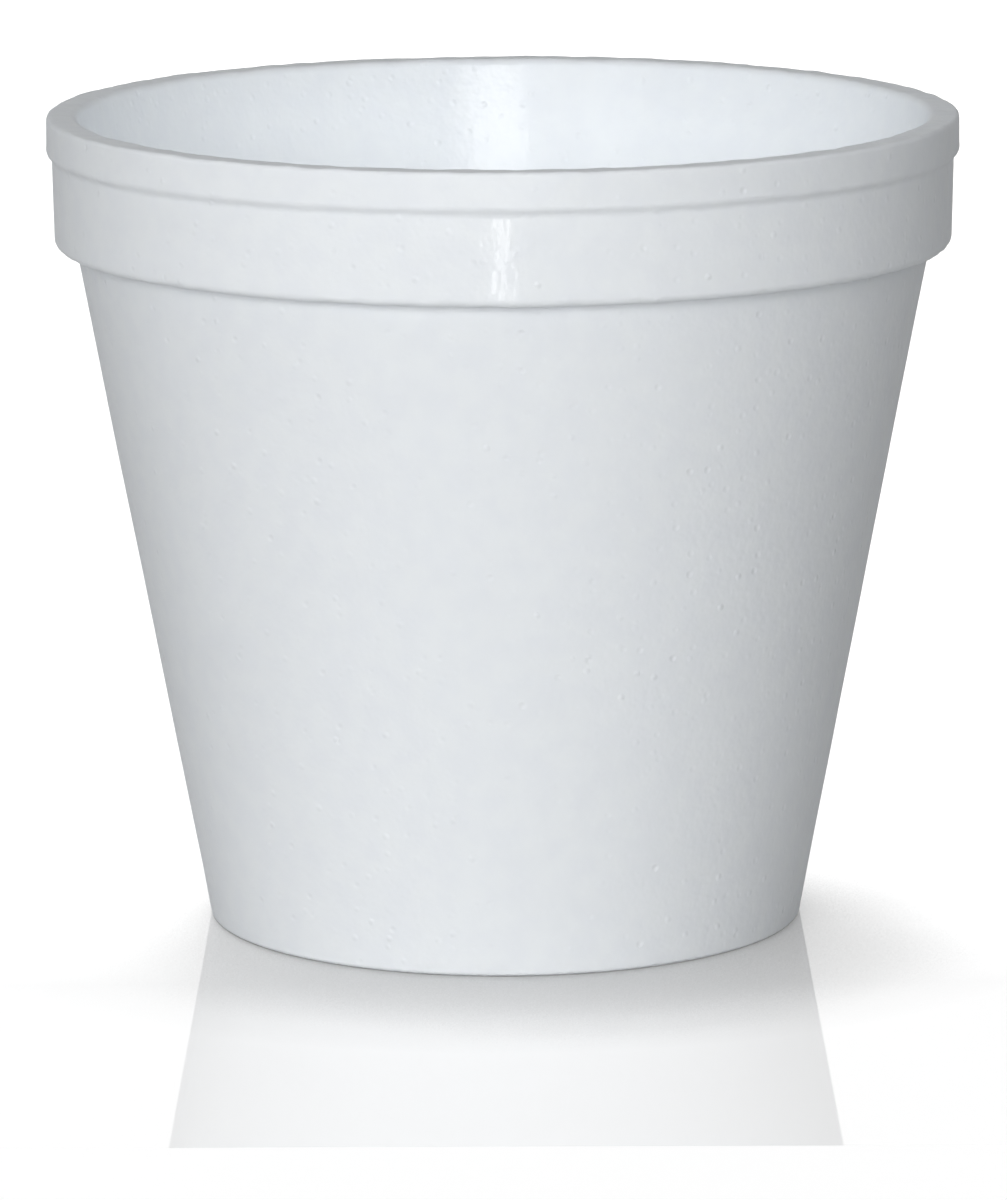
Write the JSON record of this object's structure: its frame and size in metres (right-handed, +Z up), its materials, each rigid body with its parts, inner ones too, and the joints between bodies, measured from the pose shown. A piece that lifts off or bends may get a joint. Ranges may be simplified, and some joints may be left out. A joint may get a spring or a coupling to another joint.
{
  "type": "foam cup",
  "caption": "Squat tapered cup of white bead foam with a thick upright rim band and a lid lip, for hot or cold food and drink.",
  "frame": {"origin": "middle of the foot, at the level of the surface that the cup stands on", "axes": "+Z up the cup's axis, towards the mouth; the cup is round, so +X and +Y are free"},
  "size_m": [0.1066, 0.1066, 0.0955],
  "materials": {
    "foam": "steam-moulded white bead foam, smooth satin skin with faint bead outlines"
  },
  "bodies": {
    "root": {"foam_cup": "foam"}
  },
  "joints": []
}
